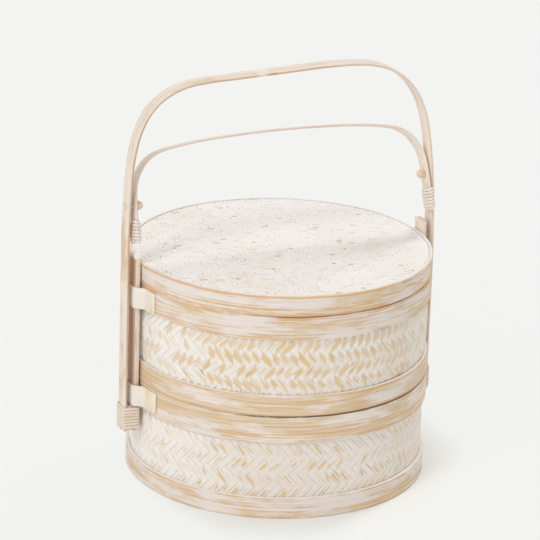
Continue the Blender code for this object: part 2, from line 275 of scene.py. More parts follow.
def split_bamboo(spots, rubbed=0.4, scratched=0.7, tint=0.3, seed=0.0, marks=(), ground=wash, lean=(0, 0), comb=34.0):
    """Drawing function for whitewashed bamboo: rubbed and scratched are the shares of each.

    lean is the side, as x and y, on which more is rubbed bare. A low comb draws the
    brush's streaks out longer.
    """

    def draw(bench):
        at = spots(bench, seed)
        fibre = bench.noise(at(9.0, 1600.0), detail=3.0, roughness=0.6)
        streak = bench.noise(at(3.0, 430.0), detail=2.0)
        patch = bench.noise(at(18.0, 75.0), detail=4.0, roughness=0.62)
        cloud = bench.noise(at(7.0, 24.0), detail=1.0)
        brush = bench.noise(at(comb, 850.0), detail=3.0, roughness=0.65)
        colour = bench.mix(cloud.between(0.35, 0.7) * tint, ground, cream_and_warm_shade)
        colour = bench.mix((fibre - 0.3) * 0.7, colour, wash_shade)
        colour = bench.mix((1 - cloud).between(0.35, 0.65) * (streak - 0.1) * 0.8, colour, pinkish)
        level = patch * 1.15 + (streak - 0.5) * 0.35 + (brush - 0.5) * 0.6 + rubbed * 0.35
        if any(lean):
            x, y, _ = object_point(bench)
            level = level + x * lean[0] + y * lean[1]
        worn = level.between(0.70, 0.94)
        colour = bench.mix(worn * 0.95, colour, bench.mix(brush.between(0.42, 0.62), straw, straw_deep))
        scratch = streak.between(0.60, 0.66) * cloud.between(0.40, 0.58) * brush.between(0.32, 0.5)
        colour = bench.mix(scratch * scratched, colour, amber)
        for mark in marks:
            colour = mark(bench, colour, patch, streak)
        roughness = 0.70 - worn * 0.12
        return colour, roughness, fibre * 0.5 + streak * 0.35 - worn * 0.2 - scratch * 0.35

    return draw


def wear_and_shade_line(height, thickness, strength, lean=(0, 0), tone=amber):
    """A line that runs round a hoop at one height, broken here and there. It draws worn lines, and in the gap tones
    painted shade where the hoop meets its neighbour.
    """

    def mark(bench, colour, patch, streak):
        x, y, z = object_point(bench)
        away = bench.maths("ABSOLUTE", z - height + (patch - 0.5) * 1.4 * MM)
        line = (1 - away.between(thickness * 0.35, thickness)) * (patch + x * lean[0] + y * lean[1]).between(0.38, 0.54)
        return bench.mix(line * strength, colour, tone)

    return mark


def white_top(height, radius):
    """The top edge and the inner face of a hoop, where the wash ran together."""

    def mark(bench, colour, patch, streak):
        x, y, z = object_point(bench)
        inner = 1 - bench.maths("SQRT", x * x + y * y).between(radius - 2.0 * MM, radius - 1.2 * MM)
        top = bench.maths("MAXIMUM", inner, z.between(height - 0.5 * MM, height - 0.2 * MM))
        return bench.mix(top * 0.9, colour, wash)

    return mark


def cut_edges(brown):
    """The cut edges of a strap, cream by the outer face and brown by the inner one.

    They are paler on the right leg.
    """

    def mark(bench, colour, patch, streak):
        edge = bench.maths("ABSOLUTE", strip_map(bench)[0] * 2 - 1)
        bare = 1 - object_point(bench)[0].between(0.02, 0.11) * 0.75
        colour = bench.mix(edge.between(0.98, 1.06) * (brown * 0.5 + streak * 0.6) * bare, colour, cut_cream)
        inner = edge.between(1.08, 1.24) * (brown + (patch - 0.5) * 1.5) * bare
        return bench.mix(inner, colour, edge_brown)

    return mark


def cane_nodes(lengths):
    """What is left of the cane's nodes on a strap: a white dab, and a brown smudge on the cut edge."""

    def mark(bench, colour, patch, streak):
        across, along = strip_map(bench)
        for length in lengths:
            past = along - length + (patch - 0.5) * 8 * MM
            dab = 1 - bench.maths("ABSOLUTE", past).between(4 * MM, 9 * MM)
            smudge = 1 - bench.maths("ABSOLUTE", past + 9 * MM).between(3 * MM, 9 * MM)
            side = bench.maths("ABSOLUTE", across * 2 - 1).between(0.95, 1.05)
            colour = bench.mix(dab * 0.65, colour, wash)
            colour = bench.mix(smudge * side * 0.7, colour, smudge_and_shade_brown)
        return colour

    return mark


def cane_edges(bench, colour, patch, streak):
    """The two edges of flat cane, a little browner than its back."""
    edge = bench.maths("ABSOLUTE", strip_map(bench)[0] * 2 - 1)
    return bench.mix(edge.between(0.55, 1.0) * 0.55, colour, cut_cream)


def bare_and_shaded_back(face):
    """The outer face of a stile, behind the arch, brown: partly bare bamboo and partly painted shade for a face that
    lies in shade.
    """

    def mark(bench, colour, patch, streak):
        # Painted shade, with bare bamboo, on the face turned away from the basket
        outward = bench.maths("ABSOLUTE", object_point(bench)[0]).between(face - 0.9 * MM, face - 0.3 * MM)
        return bench.mix(outward * (0.5 + streak * 0.5), colour, smudge_and_shade_brown)

    return mark


def dabbed_end(height):
    """Thick white on the left stile's end, where the brush was wiped."""

    def mark(bench, colour, patch, streak):
        x, _, z = object_point(bench)
        end = (z + (patch - 0.5) * 6 * MM).between(height - 4.5 * MM, height - 2.5 * MM)
        return bench.mix(end * (0 - x).between(0, 10 * MM) * 0.9, colour, chalk_and_painted_light)

    return mark


def loop_bands(bench, colour, patch, streak):
    """Pale yellow bands up a belt loop, where its bends strained the wash."""
    x, y, z = object_point(bench)
    band = bench.noise(bench.vector(x * 85 + z * 14, y * 85, z * 16), detail=2.0)
    colour = bench.mix(0.35, colour, wash)
    colour = bench.mix(band.between(0.46, 0.60) * 0.8, colour, band_yellow)
    return bench.mix(band.between(0.60, 0.70) * 0.6, colour, straw)


def hoop_finish(name, node, rubbed, scratched, seed, lines, lean=(0, 0), comb=34.0):
    """Split bamboo round a hoop, with worn lines and painted shade lines at shares of its height."""
    radius, bottom, top = span(node)
    marks = [white_top(top, radius)]
    for share, width, strength, *line_lean in lines:
        marks.append(wear_and_shade_line(bottom + (top - bottom) * share, width * MM, strength, *line_lean))
    spots = axis_grain((0, 0, 1))
    return make_finish(name, split_bamboo(spots, rubbed, scratched, 0.3, seed, marks, hoop_white, lean, comb))


# %% Mix the finishes of hoops, straps and slats
round_grain = axis_grain((0, 0, 1))
front_left = (-4.0, -1.4)
back_right = (4.0, 1.4)
strap_relief = 0.04 * MM
# The side towards which the gap lines lean: the right front, where the gaps between hoops lie in shade
gap_lean = (2.4, -0.8)
# A hoop's lines are listed as share of height, width in mm, strength, and a lean and tone where given. Those in the gap
# tones are painted shade.
finishes = {
    "lid_hoop_wash": hoop_finish("lid_hoop_wash", "lid_hoop", 0.66, 0.8, 3.0, (
        (0.09, 1.3, 0.85), (0.50, 0.5, 0.5), (0.95, 1.3, 0.8, front_left), (0.95, 0.5, 0.6, back_right, straw_deep),
        (0.0, 1.5, 0.9, gap_lean, gap_shade_warm),
    ), (0.5, -0.3)),
    "upper_rim_wash": hoop_finish("upper_rim_wash", "upper_tier_rim_hoop", 0.74, 0.9, 16.0, (
        (0.10, 0.7, 0.6), (0.97, 0.9, 0.7), (0.90, 0.8, 0.8, gap_lean), (1.0, 1.0, 0.8, gap_lean, gap_shade_warm)), (0.4, 0.0)),
    "upper_foot_wash": hoop_finish("upper_foot_wash", "upper_tier_foot_hoop", 0.90, 0.9, 19.0, (
        (0.08, 0.8, 0.7), (0.97, 0.7, 0.6), (0.0, 1.5, 0.9, gap_lean, gap_shade_brown),
    ), (-0.3, 0.2), 20.0),
    "lower_rim_wash": hoop_finish("lower_rim_wash", "lower_tier_rim_hoop", 0.74, 0.95, 27.0, (
        (0.10, 0.7, 0.8), (0.32, 0.5, 0.7), (0.6, 0.5, 0.5), (1.0, 0.9, 0.8, gap_lean, gap_shade_brown),
    ), (0, 0), 18.0),
    "lower_foot_wash": hoop_finish("lower_foot_wash", "lower_tier_foot_hoop", 0.58, 1.0, 35.0, (
        (0.06, 0.9, 0.8), (0.34, 0.6, 0.6), (0.66, 0.5, 0.6), (0.95, 0.9, 0.8)), (0, 0), 14.0),
    "inner_bamboo": make_finish("inner_bamboo", split_bamboo(round_grain, 0.9, 0.8, 1.0, 43.0, (), straw)),
    "strap_wash": make_finish("strap_wash", split_bamboo(
        map_grain(strap_width / 2), 0.26, 0.3, 0.6, 51.0, (cut_edges(0.70), cane_nodes(arch_nodes)), strap_cream,
        (-0.5, 0)), 0.25, strap_relief),
    "inner_strap_wash": make_finish("inner_strap_wash", split_bamboo(
        map_grain(strap_width / 2), 0.10, 0.3, 0.4, 55.0, (cut_edges(0.16),), strap_cream), 0.25, strap_relief),
    "stile_wash": make_finish("stile_wash", split_bamboo(axis_grain((1, 1, 0)), 0.25, 0.5, 0.9, 59.0, (
        bare_and_shaded_back(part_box("stile_right")[1][0]), dabbed_end(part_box("stile_right")[1][2])), strap_cream)),
    "slat_bamboo": make_finish("slat_bamboo", split_bamboo(axis_grain((0, 1, 1)), 0.7, 0.6, 0.8, 67.0)),
    "cane_wash": make_finish("cane_wash", split_bamboo(map_grain(cane_width), 0.3, 0.3, 0.9, 75.0, (cane_edges,), strap_cream)),
    "wrap_wash": make_finish("wrap_wash", split_bamboo(map_grain(cane_width), 0.2, 0.3, 0.5, 77.0, (cane_edges,))),
    "loop_wash": make_finish("loop_wash", split_bamboo(round_grain, 0.05, 0.0, 0.2, 83.0, (loop_bands,))),
    "peg_bamboo": make_finish("peg_bamboo", split_bamboo(axis_grain((0, 1, 1)), 0.5, 0.4, 1.0, 91.0, (), straw)),
}
print(len(finishes), "finishes mixed")

# %% [markdown]
# A woven strip is marked in its own way: it is rubbed bare in the middle of each float,
# where it stands proud, and stays white near the ends, where it dives under its
# neighbours. So this finish follows the strip. The map's first number runs across it and
# the second counts the rows that it passes, and a number kept on each strip makes no two
# of them wear alike.

# %% Finish of the wall's strips


def float_chances(bench, salt):
    """The place in a float, 0 to 1, and three random numbers that belong to it."""
    across, run = strip_map(bench)
    number = bench.add("ShaderNodeAttribute", {"attribute_name": "strip_number"}, None, "Fac")
    row = bench.maths("FLOOR", run)
    settings = {"noise_dimensions": "2D"}
    values = {"Vector": bench.vector(number * (91.7 + salt), row)}
    chances = bench.split(bench.add("ShaderNodeTexWhiteNoise", settings, values, "Color"))
    return across, run, run - row, number, chances


# A patch's ends stand upright on the wall, so they cross the leaning strip at a slant
upright = 0.32


def wall_strips(wear, sides, length, width, slits, thin_wear=0.0, front_shade=0.0, seam_shade_height=None):
    """Drawing function: wear is the share of floats rubbed bare, over length and width of each.

    front_shade is painted shade that greys the middle of the front. seam_shade_height is the
    height of a painted shade line in the gaps just above the foot hoop.
    """

    def draw(bench):
        across, run, along, number, (chance, shift, depth) = float_chances(bench, 0.0)
        x, y, z = object_point(bench)
        cloud = bench.noise(bench.vector(x, y, z), scale=9.0, detail=1.0)
        coarse_spot = bench.vector(across * 4.5 + number * 90, run * 1.6 + chance * 20, number * 37)
        coarse = bench.noise(coarse_spot, detail=2.0)
        fine = bench.noise(bench.vector(across * 20 + number * 50, run * 2.0, number * 17), detail=2.0)
        thin = bench.noise(bench.vector(across * 9 + number * 70, run * 1.3, number * 23), detail=1.0)
        there = along * 2 - 1 + (shift - 0.5) * 0.35
        place = bench.maths("ABSOLUTE", there - (across * 2 - 1) * upright)
        slant = bench.maths("FRACT", chance * 17.3) - 0.5
        band = bench.maths("ABSOLUTE", across * 2 - 1 + (depth - 0.5) * 0.5 + there * slant * 0.7)
        reach = length * (0.65 + depth * 0.7) - place + (coarse - 0.5) * 0.7 + (fine - 0.5) * 0.9
        spread = width * (0.65 + shift * 0.7) - band + (coarse - 0.5) * 0.7 + (fine - 0.5) * 0.7
        side = x * 0.9 - y * 0.42
        middle = (0.07 - bench.maths("ABSOLUTE", side - 0.01)) * sides
        present = (chance + (cloud - 0.5) * 0.9 + middle).between(0.88 - wear, 1.12 - wear)
        far = bench.maths("ABSOLUTE", side).between(0.05, 0.14)
        left = (0 - side).between(0.04, 0.15)
        strong = 0.72 + chance * 0.28 - far * 0.25 - left * 0.18
        bare = reach.between(0.0, 0.06) * spread.between(0.0, 0.07) * present * strong
        combs = bench.noise(bench.vector(across * 13 + number * 30, run * 0.9 + chance * 9, number * 29), detail=0.0)
        bare = bare * (1 - combs.between(0.52, 0.58) * slant.between(0.05, 0.15) * 0.85)
        edge = bench.maths("ABSOLUTE", across * 2 - 1)
        under = (run / 2 - bench.maths("FLOOR", run / 2)).between(0.49, 0.51)
        colour = bench.mix((fine - 0.3) * 0.6, wash, wash_shade)
        # Painted light and shade: whiter on the left, towards the light, warmer cream on the right, which lies in
        # shade, and greyer in the middle of the front
        colour = bench.mix((0.10 - bench.maths("ABSOLUTE", side - 0.01)).between(0.0, 0.08) * front_shade, colour, wash_shade)
        colour = bench.mix(left * 0.5, colour, chalk_and_painted_light)
        colour = bench.mix(side.between(0.06, 0.14) * 0.3, colour, cream_and_warm_shade)
        combed = thin.between(0.56, 0.66) * (1 - place.between(0.7, 0.95)) * thin_wear
        colour = bench.mix(combed, colour, band_yellow)
        colour = bench.mix(bare, colour, bench.mix(fine.between(0.38, 0.66), float_straw, float_deep))
        # Painted highlight: a white line along each edge of a strip
        colour = bench.mix(edge.between(0.74, 0.86) * 0.5, colour, chalk_and_painted_light)
        colour = bench.mix(edge.between(0.90, 0.98) * 0.6, colour, bare_side)
        colour = bench.mix(under * 0.6, colour, bare_side)
        slit = (across * 2 - 1).between(0.84, 0.94) * depth.between(1.0 - slits, 1.02 - slits)
        slit = slit * (1 - place.between(0.25 + shift * 0.3, 0.45 + shift * 0.3))
        colour = bench.mix(slit * 0.9, colour, crack_and_shade_brown)
        # Painted shade: a dark line in the gaps just above the foot hoop, on some strips, stronger towards the right
        if seam_shade_height:
            seam_shade = (1 - z.between(seam_shade_height, seam_shade_height + 0.9 * MM)) * number.between(0.4, 0.5)
            colour = bench.mix(seam_shade * (x - y * 0.5).between(0.04, 0.11) * 0.85, colour, crack_and_shade_brown)
        roughness = 0.72 - bare * 0.14
        return colour, roughness, fine * 0.4 + coarse * 0.3 - bare * 0.25 - slit * 0.6

    return draw


finishes["upper_weave_wash"] = make_finish("upper_weave_wash", wall_strips(
    0.88, 3.2, 0.62, 0.76, 0.035, 0.25, 0.1, span("upper_tier_foot_hoop")[2]))
finishes["lower_weave_wash"] = make_finish("lower_weave_wash", wall_strips(0.62, 0.6, 0.48, 0.40, 0.05, 0.7, 0.5))
finishes["floor_weave"] = make_finish("floor_weave", wall_strips(0.9, 0.3, 0.7, 0.9, 0.02))

# %% [markdown]
# The lid's wash is whiter than the walls'. What shows on it is a scatter of short dashes at
# the strips' edges: faint grey and tan ones, painted shade of the slits between strips, and
# brown ones where the wash missed. A few pale yellow clouds lie over it.

# %% Finish of the lid's strips
lid_white = screen(246, 242, 239)
# The first of these is painted shade, for the slits between the lid's strips
dash_shade_grey = screen(184, 172, 164)
dash_tan = screen(206, 180, 142)
dash_brown = screen(160, 118, 86)
pale_yellow = screen(232, 217, 184)


def lid_strips(edge):
    """Drawing function for the lid: edge is how wide a dash is, as a share of its strip."""

    def draw(bench):
        across, run, along, number, (chance, shift, depth) = float_chances(bench, 3.0)
        _, _, _, _, (second, slide, tone) = float_chances(bench, 11.0)
        x, y, z = object_point(bench)
        cloud = bench.noise(bench.vector(x, y, z), scale=34.0, detail=4.0, roughness=0.65)
        broad = bench.noise(bench.vector(x, y, z), scale=10.0, detail=1.0)
        fine = bench.noise(bench.vector(across * 9 + number * 50, run * 1.5, number * 17), detail=2.0)
        colour = bench.mix((fine - 0.3) * 0.35, lid_white, wash_shade)
        colour = bench.mix(broad.between(0.45, 0.65) * 0.25, colour, hoop_white)
        place = bench.maths("ABSOLUTE", along - 0.5 + (shift - 0.5) * 0.3)
        over = 1 - (run / 2 - bench.maths("FLOOR", run / 2)).between(0.49, 0.51)
        region = cloud - x * 0.5 - y * 0.7 + (broad - 0.5) * 0.9
        yellow = (region + (second - 0.5) * 0.35).between(0.60, 0.74) * fine.between(0.34, 0.52)
        yellow = yellow * (1 - place.between(0.34, 0.5)) * (0.08 + depth * 0.48)
        colour = bench.mix(yellow, colour, pale_yellow)
        # Painted shade: faint dashes at a float's edge, grey for the shade in the slit beside it, tan in some
        dash = across.between(1 - edge, 1 - edge / 2) * (1 - place.between(0.30 + depth * 0.18, 0.38 + depth * 0.18))
        faint = dash * over * chance.between(0.45, 1.0) * fine.between(0.25, 0.5)
        colour = bench.mix(faint * 0.8, colour, bench.mix(slide.between(0.55, 0.75), dash_shade_grey, dash_tan))
        spot_place = bench.maths("ABSOLUTE", along - 0.5 + (slide - 0.5) * 0.5)
        rim = (1 - across).between(1 - edge * (1.0 + tone), 1 - edge * 0.6)
        spot = rim * (1 - spot_place.between(0.05 + tone * 0.30, 0.12 + tone * 0.34)) * second.between(0.91, 0.96)
        colour = bench.mix(spot * 0.85, colour, bench.mix(tone.between(0.1, 0.8), dash_brown, dash_tan))
        return colour, 0.72 - yellow * 0.1, fine * 0.35 - faint * 0.3 - spot * 0.5

    return draw


finishes["lid_across_wash"] = make_finish("lid_across_wash", lid_strips(0.42))
finishes["lid_along_wash"] = make_finish("lid_along_wash", lid_strips(0.14))
print("woven finishes mixed")

# %% [markdown]
# Each tier's wall is a herringbone: two sets of strips climb the wall, one to the right
# and one to the left, and each passes over three of the others and then under three. It
# could be a picture on a plain cylinder, but the strips' edges would have no depth.
# Here one strip of each set is made, with the rises and dips of its path, and Geometry
# Nodes set copies of it round the wall.

# %% One strip of a wall
strip_thickness = 0.75 * MM
strip_lift = 0.46 * MM
strip_crown = 0.12 * MM
strip_share = 0.985
strip_tuck = 5.5 * MM
strip_section = (
    (-0.50, 0.35), (-0.46, 0.85), (-0.25, 1.0), (0.25, 1.0), (0.46, 0.85), (0.50, 0.35), (0.44, 0.0), (-0.44, 0.0),
)
row_stops = (0.0, 0.06, 0.13, 0.30, 0.50, 0.70, 0.87, 0.94)
weaves = {
    "lower_tier": {
        "strips": 98, "row": 14.4 * MM, "row_zero": 45.0 * MM, "belly": 0.9 * MM, "finish": "lower_weave_wash",
    },
    "upper_tier": {
        "strips": 102, "row": 13.0 * MM, "row_zero": 164.5 * MM, "belly": 2.2 * MM, "finish": "upper_weave_wash",
    },
}


def mesh_from_rings(name, rings, uvs=None):
    """A closed strip through equal rings of points, with its map if it has one."""
    rings = np.asarray(rings)
    count, corners = rings.shape[:2]
    mesh = bpy.data.meshes.new(name)
    faces = []
    for i in range(count - 1):
        for j in range(corners):
            k = (j + 1) % corners
            faces.append((i * corners + j, i * corners + k, (i + 1) * corners + k, (i + 1) * corners + j))
    faces.append(tuple(range(corners))[::-1])
    faces.append(tuple((count - 1) * corners + j for j in range(corners)))
    mesh.from_pydata(rings.reshape(-1, 3).tolist(), [], faces)
    if uvs is not None:
        layer = mesh.uv_layers.new(name="strip_run")
        flat = np.asarray(uvs).reshape(-1, 2)
        corner_points = np.empty(len(mesh.loops), dtype=int)
        mesh.loops.foreach_get("vertex_index", corner_points)
        layer.data.foreach_set("uv", flat[corner_points].ravel())
    bm = bmesh.new()
    bm.from_mesh(mesh)
    bmesh.ops.recalc_face_normals(bm, faces=bm.faces)
    bm.to_mesh(mesh)
    bm.free()
    return mesh


def wall_strip(tier, lean):
    """One strip that climbs a tier's wall to the right (lean 1) or to the left (lean -1)."""
    weave = weaves[tier]
    outer = span(tier + "_wall")[0]
    middle = outer - strip_crown - strip_lift - strip_thickness / 2 - 0.1 * MM
    pitch = math.tau * middle / weave["strips"]
    slope = math.atan2(weave["row"] / 3, pitch / 2)
    width = pitch * math.sin(slope) * strip_share
    clasp_low = span(tier + "_foot_hoop")[2]
    clasp_high = span(tier + "_rim_hoop")[1]
    low = clasp_low - strip_tuck
    high = clasp_high + strip_tuck
    first = math.floor((low - weave["row_zero"]) / weave["row"])
    last = math.ceil((high - weave["row_zero"]) / weave["row"])
    rows = [row + stop for row in range(first, last) for stop in row_stops]
    rows = [row for row in rows if low <= weave["row_zero"] + row * weave["row"] <= high]
    rings, uvs = [], []
    for row in rows:
        share = row - math.floor(row)
        over = (math.floor(row) % 2 == 0) == (lean > 0)
        dive = min(1.0, min(share, 1 - share) / 0.13)
        bow = (0.5 + 0.5 * dive) * (0.85 + 0.15 * math.sin(math.pi * share)) if over else -dive
        if share < 0.001:
            bow = 0.0
        climb = row * weave["row"]
        ring, uv = [], []
        for across, height in strip_section:
            tangent = climb / math.tan(slope) - across * width * math.sin(slope)
            rise = climb + across * width * math.cos(slope)
            angle = lean * tangent / middle
            z = weave["row_zero"] + rise
            swell = math.sin(math.pi * min(1.0, max(0.0, (z - clasp_low) / (clasp_high - clasp_low)))) ** 0.6
            radius = middle + strip_lift * bow + strip_thickness * (height - 0.5)
            radius += strip_crown * (0.25 - across**2) * 4 + weave["belly"] * swell
            ring.append((radius * math.cos(angle), radius * math.sin(angle), z))
            uv.append((across + 0.5, row + (1000 if lean > 0 else 1001)))
        rings.append(ring)
        uvs.append(uv)
    mesh = mesh_from_rings(tier + "_strip", rings, uvs)
    print(tier, "strip", round(width / MM, 2), "mm wide at", round(math.degrees(slope), 1), "degrees")
    return mesh


# %% [markdown]
# The node tree that rings the strips: points at the middle, one copy of the strip on
# each, turned by its share of a full turn. Each copy keeps a number of its own, and a
# little noise nudges it, because no two split strips are alike.

# %% Geometry nodes: strips round a wall


def open_tree(name, inputs):
    """A geometry node tree with named inputs, and its bench."""
    tree = bpy.data.node_groups.new(name, "GeometryNodeTree")
    tree.interface.new_socket("Geometry", in_out="OUTPUT", socket_type="NodeSocketGeometry")
    for label, kind in inputs:
        tree.interface.new_socket(label, in_out="INPUT", socket_type="NodeSocket" + kind)
    entry = tree.nodes.new("NodeGroupInput")
    bench = Bench(tree)
    wires = {label: Wire(bench, entry.outputs[label]) for label, _ in inputs}
    return tree, bench, wires


def tree_output(bench, geometry):
    out = bench.tree.nodes.new("NodeGroupOutput")
    bench.tree.links.new(geometry.socket, out.inputs[0])


def ring_of_strips():
    """Copies of a strip round the upright axis."""
    tree, bench, given = open_tree("ring_of_strips", [
        ("Strip", "Object"), ("Strips", "Int"), ("Turn", "Float"), ("Wander", "Float"),
        ("Seed", "Int"), ("Material", "Material"),
    ])
    strip = bench.add("GeometryNodeObjectInfo", None, {"Object": given["Strip"]}, "Geometry")
    points = bench.add("GeometryNodePoints", None, {"Count": given["Strips"]})
    index = bench.add("GeometryNodeInputIndex")
    angle = index * math.tau / given["Strips"] + given["Turn"]
    turn = bench.add("FunctionNodeEulerToRotation", None, {0: bench.vector(z=angle)})
    copies = bench.add("GeometryNodeInstanceOnPoints", None, {"Points": points, "Instance": strip, "Rotation": turn})
    number = bench.add("FunctionNodeRandomValue", {"data_type": "FLOAT"}, {"ID": index, "Seed": given["Seed"]}, 1)
    kept = bench.add("GeometryNodeStoreNamedAttribute", {"data_type": "FLOAT", "domain": "INSTANCE"},
                     {"Geometry": copies, "Name": "strip_number", "Value": number})
    solid = bench.add("GeometryNodeRealizeInstances", None, {0: kept})
    place = bench.add("GeometryNodeInputPosition")
    own = bench.add("GeometryNodeInputNamedAttribute", {"data_type": "FLOAT"}, {"Name": "strip_number"})
    noise = bench.add("ShaderNodeTexNoise", {"noise_dimensions": "4D"},
                      {"Vector": place, "W": own * 40, "Scale": 45.0, "Detail": 1.0}, "Color")
    centred = bench.add("ShaderNodeVectorMath", {"operation": "SUBTRACT"}, {0: noise, 1: (0.5, 0.5, 0.5)})
    nudge = bench.add("ShaderNodeVectorMath", {"operation": "SCALE"}, {0: centred, "Scale": given["Wander"]})
    moved = bench.add("GeometryNodeSetPosition", None, {"Geometry": solid, "Offset": nudge})
    painted = bench.add("GeometryNodeSetMaterial", None, {"Geometry": moved, "Material": given["Material"]})
    tree_output(bench, painted)
    return tree


def solidify_tree(name, tree, values):
    """The plain mesh that a node tree makes from these inputs."""
    mesh = bpy.data.meshes.new(name)
    piece = bpy.data.objects.new(name, mesh)
    bpy.context.collection.objects.link(piece)
    nodes = piece.modifiers.new("nodes", "NODES")
    nodes.node_group = tree
    for item in tree.interface.items_tree:
        if item.in_out == "INPUT" and item.name in values:
            nodes[item.identifier] = values[item.name]
    graph = bpy.context.evaluated_depsgraph_get()
    made = bpy.data.meshes.new_from_object(piece.evaluated_get(graph))
    piece.modifiers.remove(nodes)
    piece.data = made
    made.name = name
    made.shade_smooth()
    made.set_sharp_from_angle(angle=math.radians(48))
    print(name, sum(len(face.vertices) - 2 for face in made.polygons), "triangles")
    return piece


def add_object(name, mesh):
    piece = bpy.data.objects.new(name, mesh)
    bpy.context.collection.objects.link(piece)
    return piece


# %% [markdown]
# Both walls are made from the same tree. The strips that climb to the left start half a
# strip round from those that climb to the right, which puts every crossing midway
# between two row edges, as it is on the loom.

# %% Weave the walls
ring_tree = ring_of_strips()
for number, tier in enumerate(tiers):
    count = weaves[tier]["strips"]
    for lean, word in ((1, "right"), (-1, "left")):
        strip = add_object("strip_copy", wall_strip(tier, lean))
        weave = solidify_tree(f"{tier}_weave_{word}", ring_tree, {
            "Strip": strip,
            "Strips": count,
            "Turn": 0.0 if lean > 0 else math.pi / count,
            "Wander": 0.4 * MM,
            "Seed": 7 + number * 2 + (lean > 0),
            "Material": finishes[weaves[tier]["finish"]],
        })
        bpy.data.objects.remove(strip, do_unlink=True)
        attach(weave, tier_body[tier])
        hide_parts(tier + "_wall")

# %% [markdown]
# Behind the fine herringbone a wall has a plain lining that carries the load. It shows
# only in the slits and at the rim, so it is one turned ring, thick where the hoops clamp
# it and thin behind the weave.

# %% Turned pieces


def turned(name, profile, steps=160, closed=True):
    """Spins a profile of (radius, height) points round the upright axis."""
    bm = bmesh.new()
    rings = []
    for step in range(steps):
        angle = math.tau * step / steps
        rings.append([bm.verts.new((r * math.cos(angle), r * math.sin(angle), z)) for r, z in profile])
    pairs = len(profile) if closed else len(profile) - 1
    for i in range(steps):
        near, far = rings[i], rings[(i + 1) % steps]
        for j in range(pairs):
            k = (j + 1) % len(profile)
            bm.faces.new((near[j], near[k], far[k], far[j]))
    bmesh.ops.remove_doubles(bm, verts=bm.verts, dist=1e-7)
    bmesh.ops.recalc_face_normals(bm, faces=bm.faces)
    mesh = bpy.data.meshes.new(name)
    bm.to_mesh(mesh)
    bm.free()
    mesh.shade_smooth()
    mesh.set_sharp_from_angle(angle=math.radians(35))
    return add_object(name, mesh)


def finish_piece(piece, finish, body, slot, *nodes):
    """Paints a piece, puts it on its body and lets it stand for its CAD nodes."""
    if finish:
        piece.data.materials.clear()
        piece.data.materials.append(finishes[finish])
    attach(piece, body)
    if nodes:
        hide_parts(*nodes)
    return piece


lining_thickness = 0.9 * MM
for tier in tiers:
    outer, bottom, top = span(tier + "_wall")
    inner = outer - wall_thickness
    thin = inner + lining_thickness
    lower_step = span(tier + "_foot_hoop")[2] - 2 * strip_tuck
    upper_step = span(tier + "_rim_hoop")[1] + 2 * strip_tuck
    profile = [(inner, bottom), (outer, bottom), (outer, lower_step), (thin, lower_step)]
    profile += [(thin, upper_step), (outer, upper_step), (outer, top), (inner, top)]
    finish_piece(turned(tier + "_lining", profile), "inner_bamboo", tier_body[tier], "inner_weave", tier + "_wall")

# %% [markdown]
# A hoop is a strip whose two ends are pared thin and laid over each other. A plain ring
# would hide that joint. This one runs a little more than a full turn, and its thickness
# tapers in the lap, so that the outer end shows as a small step.

# %% Bend the hoops
hoop_steps = 240
hoop_edge = 0.7 * MM
lap_length = math.radians(15)
lap_step = 0.55 * MM


def bamboo_hoop(name, outer, bottom, top, thickness, lap_at):
    """A hoop with a pared lap whose outer end is at the angle lap_at."""
    inner = outer - thickness
    rings = []
    for step in range(hoop_steps + 1):
        turn = -lap_length + (math.tau + lap_length) * step / hoop_steps
        angle = math.radians(lap_at) - lap_length + turn
        under = min(1.0, (turn + lap_length) / lap_length)
        over = min(1.0, (math.tau - turn) / lap_length)
        room = thickness - lap_step - fit / 3
        out_here = outer if under >= 1 else inner + 0.15 * MM + (room - 0.15 * MM) * under
        in_here = inner if over >= 1 else inner + 0.15 * MM + fit / 3 + (room - 0.15 * MM) * (1 - over)
        edge = min(hoop_edge, (out_here - in_here) * 0.3)
        section = [(in_here, bottom), (out_here - edge, bottom), (out_here, bottom + edge)]
        section += [(out_here, top - edge), (out_here - edge, top), (in_here, top)]
        rings.append([(r * math.cos(angle), r * math.sin(angle), z) for r, z in section])
    mesh = mesh_from_rings(name, rings)
    mesh.shade_smooth()
    mesh.set_sharp_from_angle(angle=math.radians(35))
    return add_object(name, mesh)


hoops = (
    ("lid_hoop", "lid_hoop_wash", "lid", -20),
    ("upper_tier_rim_hoop", "upper_rim_wash", "upper_tier", -104),
    ("upper_tier_foot_hoop", "upper_foot_wash", "upper_tier", 30),
    ("lower_tier_rim_hoop", "lower_rim_wash", "base_tier", 100),
    ("lower_tier_foot_hoop", "lower_foot_wash", "base_tier", -60),
)
for node, finish, body, lap_at in hoops:
    radius, bottom, top = span(node)
    hoop = bamboo_hoop(node + "_bent", radius, bottom, top, hoop_thickness, lap_at)
    finish_piece(hoop, finish, body, "hoop", node)
print(len(hoops), "outer hoops bent")

# %% Hoops inside the tiers and the lid
inner_hoops = (
    ("lower_tier_collar", "base_tier", 3.0), ("upper_tier_collar", "upper_tier", 3.0),
    ("lower_tier_floor_hoop", "base_tier", 3.0), ("upper_tier_floor_hoop", "upper_tier", 3.0),
    ("lid_inner_hoop", "lid", 2.9),
)
for node, body, thickness in inner_hoops:
    radius, bottom, top = span(node)
    hoop = bamboo_hoop(node + "_bent", radius, bottom, top, thickness * MM, 60)
    finish_piece(hoop, "inner_bamboo", body, "hoop", node)

# %% [markdown]
# The lid's top is a flat twill: two sets of strips cross at right angles, each over two
# and under two, one step along in every row. It follows a rule, so a node tree makes it.
# The tree stretches each strip to the chord of the circle where it lies, lifts and drops
# it by a wave, and adds the lid's slight crown.

# %% Geometry nodes: crossed strips in a circle
sheet_strip_thickness = 0.45 * MM
sheet_lift = 0.17 * MM


